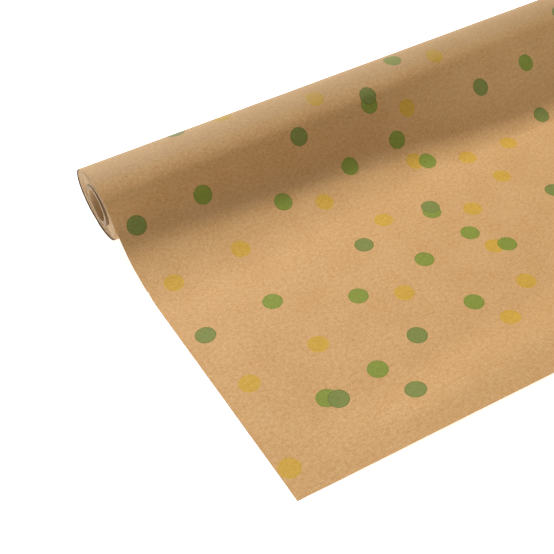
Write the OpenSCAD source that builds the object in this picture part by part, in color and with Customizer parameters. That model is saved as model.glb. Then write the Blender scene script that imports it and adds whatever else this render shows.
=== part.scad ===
// Wrapping paper roll: a spiral-wound board core, the wound paper on it,
// and the end of the paper drawn off the top and laid out flat in front.
// Units are millimetres. The origin is the centre of the core's bore, half
// way along the roll. +X runs along the roll, -Y is the side the paper is
// drawn to and +Z is up. The table is one roll radius below the origin.

/* [Paper] */
// Width of the paper, which is the length of the roll
roll_w = 700; // [300:10:1000]
// Thickness of the paper
paper_t = 0.08; // [0.06:0.01:0.15]
// Diameter of the roll over its outermost turn
roll_d = 85; // [70:1:140]

/* [Core] */
// Bore of the core, which a rod or a dispenser's spindle passes through
bore_d = 38; // [19:1:52]
// Thickness of the smooth liner ply inside the core
liner_t = 0.8; // [0.4:0.1:1.2]
// Thickness of the grey board plies that make the body of the core
board_t = 3.4; // [1:0.1:4]
// Thickness of the kraft ply wrapped on the outside of the core
jacket_t = 0.8; // [0.4:0.1:1.2]

/* [Starting tape] */
// Width of the tape that holds the first turn to the core, along the turn
tape_w = 25; // [10:1:40]
// Thickness of the tape
tape_t = 0.2; // [0.15:0.01:0.3]
// How far the tape stops short of each end of the core
tape_inset = 20; // [5:1:60]

/* [Outermost turn] */
// Slack between the outermost turn and the paper wound below it
turn_slack = 0.3; // [0.15:0.05:1]
// Angle from the top of the roll at which the paper leaves it
leave_angle = 66; // [50:1:75]
// Angle by which the outermost turn stops short of a whole turn
lap_angle = 6; // [2:1:20]

/* [Drawn sheet] */
// Straight stretch of paper between the roll and the bend
lead_l = 6; // [1:1:8]
// Radius of the tight part of the bend down to the table
bend_r = 58; // [40:1:60]
// Slope of the paper where the tight bend eases off
ease_angle = 40; // [38:1:44]
// Distance from the roll's axis to the cut end, at the middle of the roll
reach = 435; // [420:1:700]
// Slant of the cut end across the sheet
cut_slant = 3.6; // [0:0.2:8]

/* [Hidden] */
$fn = 96;

// Surfaces of the core and the roll, from the bore outwards
bore_r = bore_d / 2;
board_r = bore_r + liner_t;
jacket_r = board_r + board_t;
core_r = jacket_r + jacket_t;
roll_r = roll_d / 2;
turn_r = roll_r - paper_t;
wound_r = turn_r - turn_slack;
table_z = -roll_r;

tape_l = roll_w - 2 * tape_inset;
tape_angle = tape_w / core_r * 180 / PI;

// The sheet's printed side in side view, as [y, z] where each stretch starts
leave_at = roll_r * [-sin(leave_angle), cos(leave_angle)];
bend_at = leave_at - lead_l * [cos(leave_angle), sin(leave_angle)];
ease_at = bend_point(bend_at, bend_r, leave_angle, ease_angle);
settle_r = (ease_at[1] - table_z - paper_t) / (1 - cos(ease_angle));
half_w = roll_w / 2;
cut_run = half_w * tan(cut_slant);
bend_steps = 12;
settle_steps = 20;
past = 10; // how far cutting shapes run past what they cut

kraft = [0.80, 0.64, 0.43];
grey_board = [0.62, 0.55, 0.47];
brown_board = [0.68, 0.53, 0.37];
liner_board = [0.55, 0.41, 0.28];
tape_white = [0.93, 0.92, 0.88];

// Side view, drawn with y to the right and z up, run out along the roll
module across(l = roll_w) {
    translate([-l / 2, 0, 0])
        rotate([90, 0, 90])
            linear_extrude(l) children();
}

module ring(r_in, r_out) {
    difference() {
        circle(r_out);
        circle(r_in);
    }
}

// Part of a ring, between two angles measured from +y towards +z
module arc_strip(r_in, r_out, from, to) {
    far = 2 * r_out;
    steps = ceil((to - from) / 60);
    intersection() {
        ring(r_in, r_out);
        polygon(concat([[0, 0]],
            [for (i = [0:steps])
                let (a = from + (to - from) * i / steps)
                    far * [cos(a), sin(a)]]));
    }
}

module tape_strip() {
    across(tape_l)
        arc_strip(core_r, core_r + tape_t, 90, 90 + tape_angle);
}

module core_liner() {
    color(liner_board)
        across() ring(bore_r, board_r);
}

module core_board() {
    color(grey_board)
        across() ring(board_r, jacket_r);
}

module core_jacket() {
    color(brown_board)
        across() ring(jacket_r, core_r);
}

module start_tape() {
    color(tape_white)
        tape_strip();
}

// Every turn below the outermost one, with a pocket where the tape lies
module wound_paper() {
    color(kraft)
        difference() {
            across() ring(core_r, wound_r);
            tape_strip();
        }
}

module outer_turn() {
    color(kraft)
        across()
            arc_strip(turn_r, roll_r, lap_angle + leave_angle - 270,
                      90 + leave_angle);
}

// Where a bend that is hollow on the printed side comes to a given slope
function bend_point(at, r, from, slope) =
    at - r * [sin(from) - sin(slope), cos(slope) - cos(from)];

// The printed side from the roll to past the cut end, as [point, slope]
function sheet_path() = concat(
    [[leave_at, leave_angle]],
    [for (i = [0:bend_steps])
        let (s = leave_angle - (leave_angle - ease_angle) * i / bend_steps)
            [bend_point(bend_at, bend_r, leave_angle, s), s]],
    [for (i = [1:settle_steps])
        let (s = ease_angle * (1 - i / settle_steps))
            [bend_point(ease_at, settle_r, ease_angle, s), s]],
    [[[-reach - cut_run - past, table_z + paper_t], 0]]);

module sheet_side() {
    path = sheet_path();
    last = len(path) - 1;
    polygon(concat(
        [for (p = path) p[0]],
        [for (i = [last:-1:0])
            let (s = path[i][1])
                path[i][0] - paper_t * [-sin(s), cos(s)]]));
}

// Everything behind the slanted cut, seen from above
module cut_outline() {
    side = half_w + past;
    run = side * tan(cut_slant);
    polygon([[-side, 0], [-side, -reach + run],
             [side, -reach - run], [side, 0]]);
}

module drawn_sheet() {
    color(kraft)
        intersection() {
            across() sheet_side();
            translate([0, 0, table_z - past])
                linear_extrude(roll_d + 2 * past) cut_outline();
        }
}

core_liner();
core_board();
core_jacket();
start_tape();
wound_paper();
outer_turn();
drawn_sheet();
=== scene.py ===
from math import ceil, cos, pi, radians, sin, tan

import bpy
from bpy.props import FloatProperty, FloatVectorProperty, PointerProperty
from bpy.types import Operator, Panel, PropertyGroup
from mathutils import Euler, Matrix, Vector, noise


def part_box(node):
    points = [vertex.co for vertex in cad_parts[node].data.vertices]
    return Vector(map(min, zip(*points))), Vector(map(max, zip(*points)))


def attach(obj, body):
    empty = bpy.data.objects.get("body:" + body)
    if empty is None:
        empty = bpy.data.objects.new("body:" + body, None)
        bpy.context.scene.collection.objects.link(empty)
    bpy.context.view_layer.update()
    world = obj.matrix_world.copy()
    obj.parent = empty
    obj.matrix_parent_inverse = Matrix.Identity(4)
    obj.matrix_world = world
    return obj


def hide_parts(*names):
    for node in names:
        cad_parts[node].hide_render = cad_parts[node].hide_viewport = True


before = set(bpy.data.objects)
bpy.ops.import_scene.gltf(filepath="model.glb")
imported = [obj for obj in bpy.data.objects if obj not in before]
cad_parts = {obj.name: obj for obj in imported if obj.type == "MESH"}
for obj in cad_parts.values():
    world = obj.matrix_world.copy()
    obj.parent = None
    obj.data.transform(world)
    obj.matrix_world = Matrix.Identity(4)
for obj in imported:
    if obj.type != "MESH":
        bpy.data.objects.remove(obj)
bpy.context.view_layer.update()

bl_info = {
    "name": "Wrapping Paper Roll",
    "version": (1, 0, 0),
    "blender": (4, 5, 0),
    "location": "3D View > Sidebar > Paper Roll",
    "description": "Winds a roll of dotted kraft wrapping paper and draws its end out on a table",
    "category": "Object",
}

MM = 0.001

# Sizes from the frame: the drawn-out sheet, and the outer radius and half length of what is on the roll
SHEET_LO, SHEET_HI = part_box("drawn_sheet")
WEB_WIDTH = SHEET_HI.x - SHEET_LO.x
ROLL_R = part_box("outer_turn")[1].z
WOUND_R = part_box("wound_paper")[1].z
WOUND_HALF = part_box("wound_paper")[1].x
JACKET_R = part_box("core_jacket")[1].z
BOARD_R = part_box("core_board")[1].z
LINER_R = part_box("core_liner")[1].z
CORE_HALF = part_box("core_liner")[1].x
TAPE_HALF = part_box("start_tape")[1].x

# How a billow of 1 changes the bend, once it is this far across the web
BILLOW_FULL_AT = 0.58
BILLOW_LEAVE = radians(18)
BILLOW_LEAD = 65 * MM
BILLOW_RADIUS = 6 * MM
BILLOW_EASE = radians(20)

# The last turn's slack at its hidden end, and the length of web that is meshed finely for the bend
TURN_SLACK = 0.26 * MM
BEND_LENGTH = 0.18

# The lift at the cut end: full this far from the left edge, and rising behind a line that runs
# further from the cut towards the right, and the ripple of the whole laid part
LIFT_FULL_AT = 0.18
LIFT_BEHIND_CUT = 0.035
LIFT_SPREAD = 0.10
LIFT_HALF_RISE = 0.032
RIPPLE_HEIGHT = 0.8 * MM

# Which way the roll was wound out of square, as shares of y and z
SKEW_Y = 0.69
SKEW_Z = 0.72

# The web's side edges: the band that wanders, and a nick in the left edge
EDGE_BAND = 2.6 * MM
NICK_ALONG = 0.149
NICK_DEPTH = 1.3 * MM
NICK_HALF_LENGTH = 0.0035

# How finely the web and the wound turns are meshed
TURN_ROW = radians(3)
LEAD_ROW = 2 * MM
BEND_ROW = 3 * MM
LAID_ROWS = 96
COLUMN = 5 * MM
AREA_STRIPS = 28
STEPS_ROUND = 96

# The core's liner and strip seams, and the starting tape
LINER_THICKNESS = 0.8 * MM
SEAM_WIDTH = 0.5 * MM
SEAM_DEPTH = 0.14 * MM
WORN_DEPTH = 0.12 * MM
WORN_LENGTH = 0.4 * MM
CORE_ROW = 3 * MM
PAPER_CLEARANCE = 0.2 * MM
TAPE_UNDERSIDE = 0.01 * MM
TAPE_TOP = 0.18 * MM
TAPE_WIDTH = 25 * MM
TAPE_COLUMNS = 17
TAPE_ROWS = 133
PINKED_TOOTH = 1.2 * MM

# Print on the paper, and painted shade and sheen on it, in millimetres as the materials have them, with
# amounts from 0 to 1
INK_BLEED = 0.9
RIM_INSIDE = 0.7
# Painted shade and sheen: a darker, greyer tint over the paper still on the roll
PAINTED_SHADE_ENDS = 34.0
PAINTED_SHADE_FULL = 4.0
PAINTED_SHADE_AMOUNT = 0.35
# Painted shade: darkening of the web's back along its side edges
EDGE_SHADE_ENDS = 3.2
EDGE_SHADE_FULL = 2.2
EDGE_SHADE_AMOUNT = 0.88

# Spacing in millimetres of the lines on the wound edges and of the board's plies
EDGE_LINE_PITCH = 0.09
BOARD_PLY_PITCH = 0.48

# The stage: table, lamps (name, place, diameter and watts), and camera with its angles in degrees
TABLE_GAP = 0.05 * MM
TABLE_HALF = 12.0
LAMP_AIM = Vector((-0.05, -0.15, 0))
LAMPS = (
    ("key behind", (-0.20, 1.90, 2.45), 0.50, 84.0),
    ("top fill", (0.20, -1.00, 2.90), 1.50, 20.0),
    ("left fill", (-2.65, -0.15, 1.50), 1.50, 18.0),
)
CAMERA_PLACE = (-0.5351, -0.7484, 0.6144)
CAMERA_DOWN = 48.905
CAMERA_ROUND = -33.611

# Dot centres in millimetres: (across the web from its left edge, along it from the top of the roll)
DARK_GREEN_DOTS = [
    (115, -21), (342, 33), (496, 73), (238, 48), (23, 73), (337, 201), (235, 212), (24, 231),
    (203, 352), (92, 373), (158, 408),
    (660, 22), (566, 136), (655, 190), (478, 256), (610, 285), (540, 345), (436, 395), (668, 352),
    (590, 430), (338, 442),
    (60, -70), (205, -120), (330, -62), (430, -152), (560, -95), (650, -180), (140, -190),
    (300, -203), (520, -207), (675, -60),
]
LIGHT_GREEN_DOTS = [
    (339, 43), (402, -2), (575, 66), (359, 94), (288, 102), (384, 133), (105, 69), (190, 111),
    (333, 209), (347, 261), (277, 268), (370, 298), (105, 229), (185, 273), (281, 348), (83, 366),
    (144, 365),
    (652, 98), (552, 196), (618, 152), (458, 304), (570, 245), (424, 352), (502, 384), (640, 404),
    (392, 436), (682, 270),
    (130, -60), (30, -150), (270, -100), (375, -190), (395, -76), (500, -60), (610, -130),
    (180, -165), (590, -46), (480, -136), (94, -216),
]
YELLOW_DOTS = [
    (172, -16), (454, 15), (279, 12), (386, 63), (369, 127), (433, 151), (495, 155), (444, 202),
    (235, 131), (278, 190), (376, 230), (115, 144), (30, 149), (356, 293), (228, 297), (348, 354),
    (298, 386), (113, 305), (30, 310), (12, 413),
    (612, 215), (690, 140), (520, 296), (470, 348), (600, 340), (660, 446), (530, 432), (368, 396),
    (90, -112), (240, -50), (172, -88), (345, -135), (450, -100), (620, -76), (690, -130),
    (10, -64), (230, -176), (560, -170), (420, -214), (50, -196), (640, -216),
]


class RollSizes(PropertyGroup):
    """Sizes of the web, the wound paper and the core"""

    thickness: FloatProperty(
        name="Paper thickness", description="Thickness of the kraft paper",
        default=0.08 * MM, min=0.05 * MM, max=0.2 * MM, unit="LENGTH", precision=5)
    leave_angle: FloatProperty(
        name="Leave angle", description="Angle from the top of the roll at which the web leaves it",
        default=radians(66), min=radians(45), max=radians(80), subtype="ANGLE")
    tuck_angle: FloatProperty(
        name="Tuck angle", description="How far the last turn runs back round the roll",
        default=radians(300), min=radians(270), max=radians(350), subtype="ANGLE")
    lead: FloatProperty(
        name="Lead", description="Straight stretch between the roll and the bend",
        default=6 * MM, min=0, max=20 * MM, unit="LENGTH", precision=4)
    bend_radius: FloatProperty(
        name="Bend radius", description="Radius of the tight part of the bend down to the table",
        default=58 * MM, min=30 * MM, max=90 * MM, unit="LENGTH", precision=4)
    ease_angle: FloatProperty(
        name="Ease angle", description="Slope at which the bend starts to ease off",
        default=radians(40), min=radians(20), max=radians(50), subtype="ANGLE")
    billow: FloatProperty(
        name="Billow", description="How far the web stands out from the roll towards the right",
        default=1.3, min=0, max=1.3, subtype="FACTOR")
    cut_slant: FloatProperty(
        name="Slant of the cut", description="How far the cut end is out of square",
        default=radians(3.6), min=0, max=radians(8), subtype="ANGLE")
    end_lift: FloatProperty(
        name="End lift", description="How far the cut end stands off the table at the right",
        default=9 * MM, min=0, max=12 * MM, unit="LENGTH", precision=4)
    dot_diameter: FloatProperty(
        name="Dot diameter", description="Diameter of the printed dots",
        default=22 * MM, min=5 * MM, max=60 * MM, unit="LENGTH", precision=4)
    turn_pitch: FloatProperty(
        name="Turn pitch", description="Radial step of the turns modelled at the roll's ends",
        default=0.18 * MM, min=0.09 * MM, max=1 * MM, unit="LENGTH", precision=5)
    end_recess: FloatProperty(
        name="End recess", description="How far the wound turns sit in from the web's left edge",
        default=1.6 * MM, min=0, max=4 * MM, unit="LENGTH", precision=4)
    end_skew: FloatProperty(
        name="End skew", description="How far out of square the roll was wound, at its rim",
        default=2.5 * MM, min=0, max=5 * MM, unit="LENGTH", precision=4)


class RollColours(PropertyGroup):
    """Colours of the papers, inks and boards"""

    kraft: FloatVectorProperty(
        name="Kraft", description="Unprinted kraft paper",
        default=(0.648, 0.375, 0.152), size=3, min=0, max=1, subtype="COLOR")
    dark_green: FloatVectorProperty(
        name="Dark green", description="Dark green ink",
        default=(0.200, 0.245, 0.052), size=3, min=0, max=1, subtype="COLOR")
    light_green: FloatVectorProperty(
        name="Light green", description="Light green ink",
        default=(0.225, 0.290, 0.032), size=3, min=0, max=1, subtype="COLOR")
    yellow: FloatVectorProperty(
        name="Yellow", description="Yellow ink",
        default=(0.635, 0.370, 0.036), size=3, min=0, max=1, subtype="COLOR")
    # Painted shade and sheen: this tint over the paper still on the roll stands for how the light falls
    # there, not for dust or handling
    painted_shade_sheen: FloatVectorProperty(
        name="Painted shade and sheen", description="Grey bloom on the paper still on the roll, from store dust and handling",
        default=(0.255, 0.225, 0.165), size=3, min=0, max=1, subtype="COLOR")
    # Painted shade: the dark tint on the back of the side edges stands for the shadow under the outer
    # turn's proud edge, not for wear from the knife
    painted_edge_shade: FloatVectorProperty(
        name="Painted edge shade", description="Back of the web's side edges, rubbed dark by the slitting knife",
        default=(0.06, 0.045, 0.035), size=3, min=0, max=1, subtype="COLOR")
    cut_edge: FloatVectorProperty(
        name="Cut edge", description="Cut edges of the wound turns",
        default=(0.66, 0.505, 0.345), size=3, min=0, max=1, subtype="COLOR")
    grey_board: FloatVectorProperty(
        name="Grey board", description="Board plies of the core",
        default=(0.42, 0.32, 0.22), size=3, min=0, max=1, subtype="COLOR")
    brown_board: FloatVectorProperty(
        name="Brown board", description="Outer ply of the core",
        default=(0.26, 0.16, 0.085), size=3, min=0, max=1, subtype="COLOR")
    liner_board: FloatVectorProperty(
        name="Liner board", description="Liner ply in the core's bore",
        default=(0.62, 0.42, 0.22), size=3, min=0, max=1, subtype="COLOR")
    tape: FloatVectorProperty(
        name="Tape", description="Starting tape",
        default=(0.74, 0.70, 0.60), size=3, min=0, max=1, subtype="COLOR")


def sizes():
    return bpy.context.scene.roll_sizes


def colours():
    return bpy.context.scene.roll_colours


def eased(low, high, value):
    """0 below low, 1 above high, and a smooth step between"""
    t = min(1.0, max(0.0, (value - low) / (high - low)))
    return t * t * (3 - 2 * t)


def spaced(start, end, step):
    """Evenly spaced values from start to end, about a step apart, without the end"""
    count = max(1, ceil((end - start) / step))
    return [start + (end - start) * i / count for i in range(count)]


def drift(x, y, seed):
    """Smooth random value of about -1 to 1"""
    return noise.noise(Vector((x, y, seed)))


# Materials

def finish(name):
    """A new material with an empty tree but for its shader and output"""
    material = bpy.data.materials.new(name)
    material.use_nodes = True
    tree = material.node_tree
    tree.nodes.clear()
    output = tree.nodes.new("ShaderNodeOutputMaterial")
    shader = tree.nodes.new("ShaderNodeBsdfPrincipled")
    tree.links.new(shader.outputs["BSDF"], output.inputs["Surface"])
    return material, tree, shader


def feed(tree, socket, value):
    """Link a node's output to a socket, or set a number on it"""
    if isinstance(value, bpy.types.NodeSocket):
        tree.links.new(value, socket)
    elif value is not None:
        socket.default_value = value


def sums(tree, operation, a, b=None, c=None):
    """One step of arithmetic"""
    node = tree.nodes.new("ShaderNodeMath")
    node.operation = operation
    for socket, value in zip(node.inputs, (a, b, c)):
        feed(tree, socket, value)
    return node.outputs[0]


def remap(tree, value, low, high, to_low=0.0, to_high=1.0, smooth=True):
    """A value between low and high, brought to between to_low and to_high and held there"""
    node = tree.nodes.new("ShaderNodeMapRange")
    node.interpolation_type = "SMOOTHSTEP" if smooth else "LINEAR"
    for key, item in (("Value", value), ("From Min", low), ("From Max", high),
                      ("To Min", to_low), ("To Max", to_high)):
        feed(tree, node.inputs[key], item)
    return node.outputs["Result"]


def blended(tree, factor, first, second, mode="MIX"):
    """Two colours mixed or multiplied"""
    node = tree.nodes.new("ShaderNodeMix")
    node.data_type = "RGBA"
    node.blend_type = mode
    feed(tree, node.inputs["Factor"], factor)
    for key, value in (("A", first), ("B", second)):
        socket = next(s for s in node.inputs if s.name == key and s.type == "RGBA")
        if isinstance(value, bpy.types.NodeSocket):
            tree.links.new(value, socket)
        else:
            socket.default_value = (*value, 1.0)
    return next(s for s in node.outputs if s.type == "RGBA")


def turned(tree, place, angle, scale):
    """The place turned about the paper's normal and stretched"""
    node = tree.nodes.new("ShaderNodeMapping")
    node.vector_type = "POINT"
    feed(tree, node.inputs["Vector"], place)
    node.inputs["Rotation"].default_value = (0, 0, angle)
    node.inputs["Scale"].default_value = scale
    return node.outputs["Vector"]


def grain(tree, place, scale, detail=2.0, roughness=0.5):
    """Cloudy noise, its scale in cells to the millimetre"""
    node = tree.nodes.new("ShaderNodeTexNoise")
    feed(tree, node.inputs["Vector"], place)
    node.inputs["Scale"].default_value = scale
    node.inputs["Detail"].default_value = detail
    node.inputs["Roughness"].default_value = roughness
    return node.outputs["Fac"]


def in_millimetres(tree, layer=None):
    """The place on the piece in millimetres, from a map of its flat shape or from its solid"""
    if layer:
        node = tree.nodes.new("ShaderNodeUVMap")
        node.uv_map = layer
        place = node.outputs["UV"]
    else:
        node = tree.nodes.new("ShaderNodeTexCoord")
        place = node.outputs["Object"]
    scaled = tree.nodes.new("ShaderNodeVectorMath")
    scaled.operation = "SCALE"
    feed(tree, scaled.inputs[0], place)
    scaled.inputs["Scale"].default_value = 1000.0
    return scaled.outputs["Vector"]


def parts_of(tree, place):
    """X, Y and Z of a place"""
    node = tree.nodes.new("ShaderNodeSeparateXYZ")
    feed(tree, node.inputs[0], place)
    return node.outputs["X"], node.outputs["Y"], node.outputs["Z"]


def from_axis(tree, y, z):
    """Distance from the roll's axis"""
    squares = sums(tree, "ADD", sums(tree, "MULTIPLY", y, y), sums(tree, "MULTIPLY", z, z))
    return sums(tree, "SQRT", squares)


def kraft_pulp(tree, place):
    """Lightness of kraft pulp round 1 and its relief: clouds, formation, fibres and specks"""
    cloud = remap(tree, grain(tree, place, 0.022, 3.0, 0.55), 0.25, 0.75, 0.965, 1.035)
    formation = remap(tree, grain(tree, place, 0.24, 3.0, 0.6), 0.25, 0.75, 0.89, 1.11, smooth=False)
    fleck = remap(tree, grain(tree, place, 0.62, 2.0, 0.6), 0.25, 0.75, 0.84, 1.16, smooth=False)
    fine = grain(tree, place, 1.5, 3.0, 0.65)
    tooth = remap(tree, fine, 0.25, 0.75, 0.88, 1.12, smooth=False)
    light = sums(tree, "MULTIPLY", sums(tree, "MULTIPLY", cloud, formation), tooth)
    light = sums(tree, "MULTIPLY", light, fleck)
    relief = fine
    for angle, weight in ((0.35, 0.16), (1.45, -0.18), (2.5, 0.14), (-0.6, -0.16)):
        strands = grain(tree, turned(tree, place, angle, (0.14, 1.3, 1.0)), 1.0, 1.0, 0.4)
        strand = remap(tree, strands, 0.66, 0.76)
        light = sums(tree, "MULTIPLY_ADD", strand, weight, light)
        relief = sums(tree, "MULTIPLY_ADD", strand, 0.35, relief)
    for scale, rarest, widest, depth in ((0.055, 0.35, 0.050, -0.42), (0.14, 0.50, 0.075, -0.22)):
        speck = tree.nodes.new("ShaderNodeTexVoronoi")
        speck.feature = "F1"
        feed(tree, speck.inputs["Vector"], place)
        speck.inputs["Scale"].default_value = scale
        size = tree.nodes.new("ShaderNodeSeparateColor")
        feed(tree, size.inputs["Color"], speck.outputs["Color"])
        reach = remap(tree, size.outputs["Red"], rarest, 1.0, 0.0, widest, smooth=False)
        inside = sums(tree, "SUBTRACT", reach, speck.outputs["Distance"])
        mark = remap(tree, inside, -0.012, 0.012)
        light = sums(tree, "MULTIPLY_ADD", mark, depth, light)
    return light, relief


def relief_bump(tree, shader, height, strength, distance):
    """Fine relief on a finish, its distance in metres"""
    bump = tree.nodes.new("ShaderNodeBump")
    bump.inputs["Strength"].default_value = strength
    bump.inputs["Distance"].default_value = distance
    feed(tree, bump.inputs["Height"], height)
    feed(tree, shader.inputs["Normal"], bump.outputs["Normal"])


def shaded(tree, colour, light):
    """A colour made lighter or darker, its blue most and its red least, as pulp and inks do"""
    tone = tree.nodes.new("ShaderNodeCombineColor")
    for key, share in (("Red", 0.80), ("Green", 1.30), ("Blue", 2.20)):
        feed(tree, tone.inputs[key], sums(tree, "MULTIPLY_ADD", light, share, 1.0 - share))
    return blended(tree, 1.0, colour, tone.outputs["Color"], "MULTIPLY")


def ink_cover(tree, place, centres, radius, softness):
    """How much ink of one colour lies at a place, and the darker rim where it pools"""
    nearest = None
    for across, along in centres:
        gap = tree.nodes.new("ShaderNodeVectorMath")
        gap.operation = "DISTANCE"
        feed(tree, gap.inputs[0], place)
        gap.inputs[1].default_value = (across, along, 0.0)
        value = gap.outputs["Value"]
        nearest = value if nearest is None else sums(tree, "MINIMUM", nearest, value)
    cover = remap(tree, nearest, radius + softness, radius - softness)
    rim = sums(tree, "ABSOLUTE", sums(tree, "SUBTRACT", nearest, radius - RIM_INSIDE))
    return cover, remap(tree, rim, 0.75, 0.1)


def bled(tree, place):
    """The place shifted a little at random, so that the ink's outline follows the fibres"""
    wander = tree.nodes.new("ShaderNodeTexNoise")
    feed(tree, wander.inputs["Vector"], place)
    wander.inputs["Scale"].default_value = 0.9
    wander.inputs["Detail"].default_value = 2.0
    shift = tree.nodes.new("ShaderNodeVectorMath")
    shift.operation = "MULTIPLY_ADD"
    feed(tree, shift.inputs[0], wander.outputs["Color"])
    shift.inputs[1].default_value = (INK_BLEED, INK_BLEED, 0.0)
    feed(tree, shift.inputs[2], place)
    settle = tree.nodes.new("ShaderNodeVectorMath")
    settle.operation = "ADD"
    feed(tree, settle.inputs[0], shift.outputs["Vector"])
    settle.inputs[1].default_value = (-INK_BLEED / 2, -INK_BLEED / 2, 0.0)
    return settle.outputs["Vector"]


def dotted(tree, place, light, colour):
    """Dots of the three inks, soaked into the paper's colour"""
    tint = colours()
    wet = bled(tree, place)
    mottle = grain(tree, place, 0.55, 3.0, 0.6)
    soaked = sums(tree, "MULTIPLY_ADD", light, 0.7, 0.3)
    radius = sizes().dot_diameter / MM / 2
    for ink, centres, softness, thinnest, rim_depth in (
            (tint.yellow, YELLOW_DOTS, 0.9, 0.62, 0.0),
            (tint.light_green, LIGHT_GREEN_DOTS, 0.35, 0.84, 0.10),
            (tint.dark_green, DARK_GREEN_DOTS, 0.30, 0.86, 0.16)):
        cover, rim = ink_cover(tree, wet, centres, radius, softness)
        amount = sums(tree, "MULTIPLY", cover, remap(tree, mottle, 0.25, 0.6, thinnest, 1.0))
        depth = sums(tree, "MULTIPLY_ADD", rim, -rim_depth, soaked)
        colour = blended(tree, amount, colour, shaded(tree, tuple(ink), depth))
    return colour


def shade_and_sheen_painted(tree, place, colour):
    """Painted shade and sheen: a darker, greyer tint over the paper that is still on the roll"""
    along = parts_of(tree, place)[1]
    amount = remap(tree, along, PAINTED_SHADE_ENDS, PAINTED_SHADE_FULL, 0.0, PAINTED_SHADE_AMOUNT)
    return blended(tree, amount, colour, tuple(colours().painted_shade_sheen))


def edge_shade_painted(tree, place, colour):
    """Painted shade: the web's back darkened near its side edges, standing for the shadow under the outer
    turn's proud edge at the roll's end
    """
    half = WEB_WIDTH / MM / 2
    across = parts_of(tree, place)[0]
    from_middle = sums(tree, "ABSOLUTE", sums(tree, "SUBTRACT", across, half))
    from_edge = sums(tree, "SUBTRACT", half, from_middle)
    amount = remap(tree, from_edge, EDGE_SHADE_ENDS, EDGE_SHADE_FULL, 0.0, EDGE_SHADE_AMOUNT)
    return blended(tree, amount, colour, tuple(colours().painted_edge_shade))


def kraft_finish(name, printed):
    """Kraft paper: its printed side with dots and painted shade and sheen on the roll, or its plain back
    with painted shade along its side edges
    """
    kraft = tuple(colours().kraft)
    warmer = tuple(c * f for c, f in zip(kraft, (1.02, 0.93, 0.80)))
    material, tree, shader = finish(name)
    place = in_millimetres(tree, "flat_paper")
    light, relief = kraft_pulp(tree, place)
    warmth = remap(tree, grain(tree, place, 0.05, 2.0), 0.35, 0.75, 0.0, 0.22)
    colour = blended(tree, warmth, shaded(tree, kraft, light), shaded(tree, warmer, light))
    if printed:
        # Painted shade and sheen over the paper still on the roll
        colour = shade_and_sheen_painted(tree, place, dotted(tree, place, light, colour))
    else:
        # Painted shade along the side edges of the web's back
        colour = edge_shade_painted(tree, place, colour)
    feed(tree, shader.inputs["Base Color"], colour)
    feed(tree, shader.inputs["Roughness"], remap(tree, relief, 0.2, 0.9, 0.62, 0.74))
    shader.inputs["Specular IOR Level"].default_value = 0.32
    shader.inputs["Sheen Weight"].default_value = 0.10
    shader.inputs["Sheen Roughness"].default_value = 0.45
    relief_bump(tree, shader, relief, 0.22, 0.00012)
    return material


def turned_edges(name):
    """Cut edges of the wound turns: fine pale and dark lines that follow the spiral"""
    material, tree, shader = finish(name)
    place = in_millimetres(tree)
    _, back, up = parts_of(tree, place)
    radius = from_axis(tree, back, up)
    angle = sums(tree, "ARCTAN2", up, back)
    turn = sums(tree, "SUBTRACT", sums(tree, "DIVIDE", radius, EDGE_LINE_PITCH),
                sums(tree, "DIVIDE", angle, 2 * pi))
    line = sums(tree, "PINGPONG", turn, 0.5)
    lines = remap(tree, line, 0.0, 0.30, 0.72, 1.0)
    ring_place = tree.nodes.new("ShaderNodeCombineXYZ")
    feed(tree, ring_place.inputs["X"], sums(tree, "MULTIPLY", radius, 2.2))
    feed(tree, ring_place.inputs["Y"], sums(tree, "MULTIPLY", angle, 2.0))
    bands = grain(tree, ring_place.outputs[0], 1.0, 3.0, 0.7)
    speckle = grain(tree, place, 2.6, 3.0, 0.6)
    light = sums(tree, "MULTIPLY", lines, remap(tree, bands, 0.25, 0.75, 0.80, 1.12))
    light = sums(tree, "MULTIPLY", light, remap(tree, speckle, 0.2, 0.8, 0.90, 1.10))
    feed(tree, shader.inputs["Base Color"], shaded(tree, tuple(colours().cut_edge), light))
    shader.inputs["Roughness"].default_value = 0.85
    shader.inputs["Specular IOR Level"].default_value = 0.2
    relief_bump(tree, shader, sums(tree, "ADD", line, speckle), 0.35, 0.00008)
    return material


def board_finish(name, tint, streak, strength):
    """Core board, felted from short fibres, with lines between its plies as dark as streak"""
    material, tree, shader = finish(name)
    place = in_millimetres(tree)
    _, back, up = parts_of(tree, place)
    radius = from_axis(tree, back, up)
    ply = sums(tree, "PINGPONG", sums(tree, "DIVIDE", radius, BOARD_PLY_PITCH), 0.5)
    plies = remap(tree, ply, 0.0, 0.22, 1.0 - streak, 1.0)
    felt = grain(tree, place, 0.8, 4.0, 0.65)
    strand_place = turned(tree, place, 0.7, (0.25, 1.8, 1.8))
    strands = remap(tree, grain(tree, strand_place, 1.0, 2.0), 0.6, 0.75)
    light = sums(tree, "MULTIPLY", plies, remap(tree, felt, 0.2, 0.8, 0.80, 1.18))
    light = sums(tree, "MULTIPLY_ADD", strands, 0.16, light)
    feed(tree, shader.inputs["Base Color"], shaded(tree, tuple(tint), light))
    feed(tree, shader.inputs["Roughness"], remap(tree, felt, 0.2, 0.8, 0.70, 0.88))
    shader.inputs["Specular IOR Level"].default_value = 0.25
    relief_bump(tree, shader, sums(tree, "ADD", felt, strands), strength, 0.00015)
    return material


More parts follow.
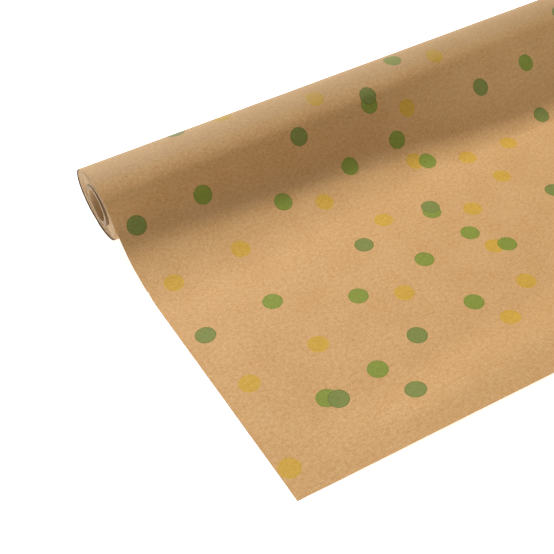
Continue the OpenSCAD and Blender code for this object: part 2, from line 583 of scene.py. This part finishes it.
def tape_finish(name):
    """Paper tape with crepe ribs across it"""
    material, tree, shader = finish(name)
    place = in_millimetres(tree)
    ribs = grain(tree, turned(tree, place, 0.0, (1.6, 0.12, 0.12)), 1.0, 2.0)
    felt = grain(tree, place, 1.1, 3.0)
    light = sums(tree, "MULTIPLY", remap(tree, ribs, 0.3, 0.7, 0.93, 1.05),
                 remap(tree, felt, 0.2, 0.8, 0.95, 1.04))
    feed(tree, shader.inputs["Base Color"], shaded(tree, tuple(colours().tape), light))
    feed(tree, shader.inputs["Roughness"], remap(tree, ribs, 0.2, 0.8, 0.42, 0.58))
    relief_bump(tree, shader, ribs, 0.4, 0.00010)
    return material


# Shapes

def piece(name, points, faces, materials, face_slots=None, flat=None, sharp=None):
    """A mesh object from points and faces, smooth shaded, with its flat place as a map"""
    mesh = bpy.data.meshes.new(name)
    mesh.from_pydata(points, [], faces)
    for material in materials:
        mesh.materials.append(material)
    mesh.polygons.foreach_set("use_smooth", [True] * len(mesh.polygons))
    if face_slots:
        mesh.polygons.foreach_set("material_index", face_slots)
    if flat:
        layer = mesh.uv_layers.new(name="flat_paper")
        corners = [0] * len(mesh.loops)
        mesh.loops.foreach_get("vertex_index", corners)
        layer.data.foreach_set("uv", [c for v in corners for c in flat[v]])
    if sharp:
        mesh.set_sharp_from_angle(angle=sharp)
    mesh.update()
    obj = bpy.data.objects.new(name, mesh)
    bpy.context.scene.collection.objects.link(obj)
    return obj


def bend_shape(across, part):
    """Where the web leaves the roll, its straight stretch and its bend: it stands out to the right"""
    billow = part.billow * eased(0.0, BILLOW_FULL_AT, across)
    leave = part.leave_angle - BILLOW_LEAVE * billow
    lead = part.lead + BILLOW_LEAD * billow
    radius = part.bend_radius - BILLOW_RADIUS * billow
    ease = part.ease_angle - BILLOW_EASE * billow
    return leave, lead, radius, ease


def side_path(along, across, part):
    """The printed side in side view at a length along the web: y, z and the slope there"""
    leave, lead, bend, ease = bend_shape(across, part)
    left = along - ROLL_R * leave
    if left <= 0:
        turn = along / ROLL_R
        r = ROLL_R - TURN_SLACK * min(1.0, (leave - turn) / (leave + part.tuck_angle))
        return -r * sin(turn), r * cos(turn), turn
    y = -ROLL_R * sin(leave)
    z = ROLL_R * cos(leave)
    step = min(left, lead)
    y -= step * cos(leave)
    z -= step * sin(leave)
    left -= step
    if left <= 0:
        return y, z, leave
    slope = max(ease, leave - left / bend)
    y -= bend * (sin(leave) - sin(slope))
    z -= bend * (cos(slope) - cos(leave))
    left -= bend * (leave - ease)
    if left <= 0:
        return y, z, slope
    settle = (z - SHEET_LO.z - part.thickness) / (1 - cos(ease))
    slope = max(0.0, ease - left / settle)
    y -= settle * (sin(ease) - sin(slope))
    z -= settle * (cos(slope) - cos(ease))
    left -= settle * ease
    if left <= 0:
        return y, z, slope
    return y - left, z, 0.0


def web_lift(across, along, behind_cut, part):
    """How high the laid part stands off the table: lifted at the cut's right, and rippled elsewhere"""
    laid = eased(0.14, 0.24, along)
    right = eased(0.0, LIFT_FULL_AT, across)
    middle = LIFT_BEHIND_CUT + LIFT_SPREAD * across
    rise = eased(middle + LIFT_HALF_RISE, middle - LIFT_HALF_RISE, behind_cut)
    ripple = 0.5 + 0.5 * sin(across * 31 + 3 * drift(along * 4, across * 2, 4.0))
    ripple *= RIPPLE_HEIGHT * laid * eased(0.0, 0.03, behind_cut)
    return part.end_lift * right * rise + ripple


def cut_length(across, part):
    """Length along the web at the cut end, from the top of the roll, with more where the end is lifted"""
    reach = -SHEET_LO.y - (WEB_WIDTH - across) * tan(part.cut_slant)
    beyond = 1.0
    far_y = side_path(beyond, across, part)[0]
    return beyond + far_y + reach + 0.5 * part.end_lift * eased(0.0, LIFT_FULL_AT, across)


def end_skew(y, z, part):
    """Sideways shift of a turn, because the roll was wound a little out of square"""
    return -part.end_skew * (SKEW_Y * y + SKEW_Z * z) / ROLL_R


def frayed(across, along):
    """Small wander of the web's side edges, and a nick in the left one"""
    wander = 0.16 * MM * drift(along * 60, 0.3, 1.0) + 0.10 * MM * drift(along * 300, 0.7, 2.0)
    if across < WEB_WIDTH / 2:
        nick = NICK_DEPTH * max(0.0, 1 - abs(along - NICK_ALONG) / NICK_HALF_LENGTH)
        return (max(0.0, wander) + nick) * eased(EDGE_BAND, 0, across)
    return -max(0.0, wander) * eased(EDGE_BAND, 0, WEB_WIDTH - across)


def web_rows(part):
    """Lengths along the web of the rows on the roll and the bend, and where the laid rows start"""
    leave = ROLL_R * part.leave_angle
    lead_end = leave + part.lead
    laid_from = lead_end + BEND_LENGTH
    rows = spaced(-part.tuck_angle * ROLL_R, leave, ROLL_R * TURN_ROW)
    rows += spaced(leave, lead_end, LEAD_ROW)
    rows += spaced(lead_end, laid_from, BEND_ROW)
    return rows, laid_from


def web_columns():
    """Places across the web, closer together near its side edges"""
    close = [0, 0.4 * MM, 1.2 * MM, EDGE_BAND]
    columns = close + spaced(COLUMN, WEB_WIDTH - COLUMN, COLUMN)
    return columns + [WEB_WIDTH - COLUMN] + [WEB_WIDTH - gap for gap in reversed(close)]


def web_points(part, columns):
    """Points of the printed side and then of the back, and their places on the flat paper"""
    bent_rows, laid_from = web_rows(part)
    points = []
    flat = []
    for depth in (0, part.thickness):
        for row in range(len(bent_rows) + LAID_ROWS + 1):
            for across in columns:
                cut = cut_length(across, part) + 0.25 * MM * drift(across * 25, 0.2, 7.0)
                if row < len(bent_rows):
                    along = bent_rows[row]
                else:
                    along = laid_from + (cut - laid_from) * (row - len(bent_rows)) / LAID_ROWS
                y, z, slope = side_path(along, across, part)
                z += web_lift(across, along, cut - along, part)
                x = SHEET_LO.x + across + frayed(across, along)
                x += end_skew(y, z, part) * eased(0.11, 0.03, along)
                points.append((x, y + depth * sin(slope), z - depth * cos(slope)))
                flat.append((across, along))
    return points, flat


def web_faces(rows, wide):
    """Faces of the printed side, the back and the rim between, and which paper each one shows"""
    back = rows * wide
    faces = []
    slots = []
    for row in range(rows - 1):
        for column in range(wide - 1):
            a = row * wide + column
            b = a + wide
            faces.append((a, b, b + 1, a + 1))
            faces.append((back + a, back + a + 1, back + b + 1, back + b))
            slots += [0, 1]
    rim = [(row * wide, row * wide + wide) for row in range(rows - 1)]
    rim += [((rows - 1) * wide + c, (rows - 1) * wide + c + 1) for c in range(wide - 1)]
    rim += [(row * wide + 2 * wide - 1, row * wide + wide - 1) for row in range(rows - 1)]
    rim += [(c + 1, c) for c in range(wide - 1)]
    for a, b in rim:
        faces.append((a, back + a, back + b, b))
        slots.append(1)
    return faces, slots


def flat_size(part):
    """The flat web's width, its longest line and its area, measured in strips along it"""
    start = -part.tuck_angle * ROLL_R
    strips = [WEB_WIDTH * (i + 0.5) / AREA_STRIPS for i in range(AREA_STRIPS)]
    area = sum(cut_length(across, part) - start for across in strips) * WEB_WIDTH / AREA_STRIPS
    longest = max(cut_length(across, part) for across in (0, WEB_WIDTH / 2, WEB_WIDTH)) - start
    return WEB_WIDTH, longest, area


class ROLL_OT_web(Operator):
    """Lay the printed web: its last turn round the roll, the bend and the drawn-out sheet"""

    bl_idname = "paper_roll.web"
    bl_label = "Lay the Printed Web"

    def execute(self, context):
        part = sizes()
        columns = web_columns()
        points, flat = web_points(part, columns)
        rows = len(points) // (2 * len(columns))
        faces, slots = web_faces(rows, len(columns))
        printed = kraft_finish("Printed kraft", True)
        plain = kraft_finish("Plain kraft", False)
        web = piece("printed_web", points, faces, [printed, plain], slots, flat, radians(50))
        width, longest, area = flat_size(part)
        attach(web, "sheet")
        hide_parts("outer_turn", "drawn_sheet")
        return {"FINISHED"}


def turn_wander(turn, angle):
    """How far sideways a turn was wound, in metres"""
    slow = 0.20 * sin(turn / 6.1 + 0.8) + 0.14 * sin(turn / 2.3)
    stepped = 0.16 * drift(turn * 0.9, 0.5, 11.0)
    round_it = 0.10 * drift(turn * 1.7, cos(angle), sin(angle) + 5.0)
    return (slow + stepped + round_it) * MM


def turn_points(part, turns):
    """Points of the spiral's two ends, each an inner and an outer one at every step round"""
    inner = JACKET_R + PAPER_CLEARANCE
    pitch = (WOUND_R - inner) / (turns + 1)
    points = []
    for end in (-1, 1):
        for i in range(turns * STEPS_ROUND + 1):
            turn = i / STEPS_ROUND
            angle = 2 * pi * turn
            r = inner + pitch * turn
            x = end * WOUND_HALF + part.end_recess + turn_wander(turn, angle)
            x += end_skew(r * cos(angle), r * sin(angle), part)
            for radius in (r, r + pitch):
                points.append((x, radius * cos(angle), radius * sin(angle)))
    return points


def turn_faces(turns):
    """Faces of the turns' cut edges, the steps between them, and the first and last turns' surfaces"""
    last = turns * STEPS_ROUND
    half = 2 * (last + 1)
    faces = []
    for end in (0, half):
        for i in range(last):
            a = end + 2 * i
            lid = (a, a + 1, a + 3, a + 2)
            faces.append(lid if end else lid[::-1])
            if i + STEPS_ROUND < last:
                b = a + 2 * STEPS_ROUND
                wall = (a + 1, b, b + 2, a + 3)
                faces.append(wall if end else wall[::-1])
    for i in range(STEPS_ROUND):
        a = 2 * i
        faces.append((a, half + a, half + a + 2, a + 2))
        b = 2 * (last - STEPS_ROUND + i) + 1
        faces.append((b, b + 2, half + b + 2, half + b))
    faces.append((0, 1, half + 1, half))
    faces.append((2 * last, half + 2 * last, half + 2 * last + 1, 2 * last + 1))
    return faces


class ROLL_OT_turns(Operator):
    """Wind the paper on the core as one spiral, its turns a little out of line at the ends"""

    bl_idname = "paper_roll.turns"
    bl_label = "Wind the Paper"

    def execute(self, context):
        part = sizes()
        room = WOUND_R - (JACKET_R + PAPER_CLEARANCE)
        turns = round(room / part.turn_pitch) - 1
        edges = turned_edges("Wound edges")
        wound = piece("wound_turns", turn_points(part, turns), turn_faces(turns), [edges],
                      sharp=radians(30))
        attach(wound, "roll")
        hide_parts("wound_paper")
        return {"FINISHED"}


def ply_tube(name, r_in, r_out, half, material, twist, seam_on):
    """A board tube whose strips are wound in a spiral, with a groove where they meet and worn ends"""
    length = 2 * half
    seam = SEAM_WIDTH / (r_in if seam_on == "inside" else r_out)
    angles = [0, seam * 0.35, seam * 0.65, seam] + spaced(seam, 2 * pi, radians(6))[1:]
    close = [0, 0.15 * MM, 0.5 * MM]
    rows = close + spaced(CORE_ROW, length - CORE_ROW, CORE_ROW)
    rows += [length - CORE_ROW] + [length - gap for gap in reversed(close)]
    points = []
    for surface in ("inside", "outside"):
        for place in rows:
            end_gap = min(place, length - place)
            worn = WORN_DEPTH * (1 - min(1.0, end_gap / WORN_LENGTH))
            for i, angle in enumerate(angles):
                r = r_in if surface == "inside" else r_out
                dent = SEAM_DEPTH if surface == seam_on and i in (1, 2) else 0.0
                r += dent + worn if surface == "inside" else -dent - worn
                round_at = angle + twist * place
                x = place - half
                if end_gap == 0:
                    x += 0.10 * MM * drift(cos(round_at) * 3, sin(round_at) * 3, r * 900)
                points.append((x, r * cos(round_at), r * sin(round_at)))
    wide = len(angles)
    skip = len(rows) * wide
    faces = []
    for row in range(len(rows) - 1):
        for i in range(wide):
            a = row * wide + i
            b = row * wide + (i + 1) % wide
            faces.append((a, a + wide, b + wide, b))
            faces.append((skip + a, skip + b, skip + b + wide, skip + a + wide))
    for row in (0, len(rows) - 1):
        for i in range(wide):
            a = row * wide + i
            b = row * wide + (i + 1) % wide
            lid = (a, b, skip + b, skip + a)
            faces.append(lid if row == 0 else lid[::-1])
    return piece(name, points, faces, [material], sharp=radians(40))


class ROLL_OT_core(Operator):
    """Make the core's liner, board and jacket plies"""

    bl_idname = "paper_roll.core"
    bl_label = "Make the Core"

    def execute(self, context):
        tint = colours()
        bore_r = LINER_R - LINER_THICKNESS
        liner = board_finish("Liner board", tint.liner_board, 0.0, 0.35)
        board = board_finish("Grey board", tint.grey_board, 0.30, 0.5)
        jacket = board_finish("Brown board", tint.brown_board, 0.0, 0.35)
        # pitch is the length of core in which a strip goes once round
        for name, node, r_in, r_out, material, pitch, seam_on, slot in (
                ("liner_ply", "core_liner", bore_r, LINER_R, liner, 0.12, "inside", "liner_board"),
                ("board_plies", "core_board", LINER_R, BOARD_R, board, 0.15, "outside", "grey_board"),
                ("jacket_ply", "core_jacket", BOARD_R, JACKET_R, jacket, 0.17, "outside",
                 "brown_board")):
            ply = ply_tube(name, r_in, r_out, CORE_HALF, material, 2 * pi / pitch, seam_on)
            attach(ply, "roll")
            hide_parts(node)
        return {"FINISHED"}


def tape_points():
    """Points of the tape's underside and then of its top, along the core, with pinked ends"""
    points = []
    for r in (JACKET_R + TAPE_UNDERSIDE, JACKET_R + TAPE_TOP):
        for row in range(TAPE_ROWS):
            for i in range(TAPE_COLUMNS):
                tooth = (PINKED_TOOTH if i % 2 else 0.0) if row in (0, TAPE_ROWS - 1) else 0.0
                x = -TAPE_HALF + 2 * TAPE_HALF * row / (TAPE_ROWS - 1)
                x += tooth if row == 0 else -tooth
                angle = pi / 2 + TAPE_WIDTH / JACKET_R * i / (TAPE_COLUMNS - 1)
                points.append((x, r * cos(angle), r * sin(angle)))
    return points


def tape_faces():
    """Faces of the tape's underside, its top and its edges"""
    wide = TAPE_COLUMNS
    rows = TAPE_ROWS
    skip = rows * wide
    faces = []
    for row in range(rows - 1):
        for i in range(wide - 1):
            a = row * wide + i
            b = a + wide
            faces.append((a, a + 1, b + 1, b))
            faces.append((skip + a, skip + b, skip + b + 1, skip + a + 1))
    rim = [(i, i + 1) for i in range(wide - 1)]
    rim += [(r * wide + wide - 1, r * wide + 2 * wide - 1) for r in range(rows - 1)]
    rim += [((rows - 1) * wide + i + 1, (rows - 1) * wide + i) for i in range(wide - 1)]
    rim += [(r * wide + wide, r * wide) for r in range(rows - 1)]
    for a, b in rim:
        faces.append((b, a, skip + a, skip + b))
    return faces


class ROLL_OT_tape(Operator):
    """Stick the starting tape on the core, with pinked ends"""

    bl_idname = "paper_roll.tape"
    bl_label = "Stick the Starting Tape"

    def execute(self, context):
        paper = tape_finish("Paper tape")
        tape = piece("starting_tape", tape_points(), tape_faces(), [paper], sharp=radians(40))
        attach(tape, "roll")
        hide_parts("start_tape")
        return {"FINISHED"}


def lay_table():
    """A pale table under the sheet, with an even glow of its own so that it stays pale all over"""
    material, _, shader = finish("Pale table")
    shader.inputs["Base Color"].default_value = (0.93, 0.93, 0.93, 1)
    shader.inputs["Roughness"].default_value = 0.9
    shader.inputs["Specular IOR Level"].default_value = 0.1
    shader.inputs["Emission Color"].default_value = (1, 1, 1, 1)
    shader.inputs["Emission Strength"].default_value = 0.75
    side = TABLE_HALF
    top = SHEET_LO.z - TABLE_GAP
    corners = [(-side, -side, top), (side, -side, top), (side, side, top), (-side, side, top)]
    table = piece("table", corners, [(0, 1, 2, 3)], [material])


def hang_lamps(scene):
    """Soft round lamps that all face the middle of the sheet, and a faint even daylight"""
    world = bpy.data.worlds.new("Soft daylight")
    world.use_nodes = True
    sky = world.node_tree.nodes["Background"]
    sky.inputs["Color"].default_value = (1.0, 1.0, 1.0, 1)
    sky.inputs["Strength"].default_value = 0.08
    scene.world = world
    for name, place, diameter, watts in LAMPS:
        lamp = bpy.data.lights.new(name, "AREA")
        lamp.shape = "DISK"
        lamp.size = diameter
        lamp.energy = watts
        holder = bpy.data.objects.new(name, lamp)
        holder.location = place
        towards = LAMP_AIM - Vector(place)
        holder.rotation_euler = towards.to_track_quat("-Z", "Y").to_euler()
        scene.collection.objects.link(holder)


def set_camera(scene):
    """The camera, in front of the left end and looking down on the sheet"""
    optics = bpy.data.cameras.new("camera")
    optics.lens = 55.74
    optics.shift_x = -0.1022
    optics.shift_y = 0.1063
    optics.clip_start = 0.01
    optics.clip_end = 50
    camera = bpy.data.objects.new("camera", optics)
    camera.location = CAMERA_PLACE
    camera.rotation_euler = Euler((radians(90 - CAMERA_DOWN), 0, radians(CAMERA_ROUND)))
    scene.collection.objects.link(camera)
    scene.camera = camera
    scene.view_settings.view_transform = "Standard"


class ROLL_OT_stage(Operator):
    """Set the table, the lights and the camera"""

    bl_idname = "paper_roll.stage"
    bl_label = "Set the Stage"

    def execute(self, context):
        lay_table()
        hang_lamps(context.scene)
        set_camera(context.scene)
        return {"FINISHED"}


class ROLL_PT_panel(Panel):
    """Lists the steps that make the roll"""

    bl_idname = "ROLL_PT_panel"
    bl_label = "Wrapping Paper Roll"
    bl_space_type = "VIEW_3D"
    bl_region_type = "UI"
    bl_category = "Paper Roll"

    def draw(self, context):
        layout = self.layout
        for group in (context.scene.roll_sizes, context.scene.roll_colours):
            box = layout.box()
            for name in group.__annotations__:
                box.prop(group, name)
        for step in STEPS:
            layout.operator(step.bl_idname)


STEPS = (ROLL_OT_stage, ROLL_OT_web, ROLL_OT_turns, ROLL_OT_core, ROLL_OT_tape)
CLASSES = (RollSizes, RollColours, *STEPS, ROLL_PT_panel)


def register():
    for item in CLASSES:
        bpy.utils.register_class(item)
    bpy.types.Scene.roll_sizes = PointerProperty(type=RollSizes)
    bpy.types.Scene.roll_colours = PointerProperty(type=RollColours)


def unregister():
    del bpy.types.Scene.roll_colours
    del bpy.types.Scene.roll_sizes
    for item in reversed(CLASSES):
        bpy.utils.unregister_class(item)


def main():
    register()
    bpy.ops.paper_roll.stage()
    bpy.ops.paper_roll.web()
    bpy.ops.paper_roll.turns()
    bpy.ops.paper_roll.core()
    bpy.ops.paper_roll.tape()
    bpy.context.view_layer.update()


if __name__ == "__main__":
    main()
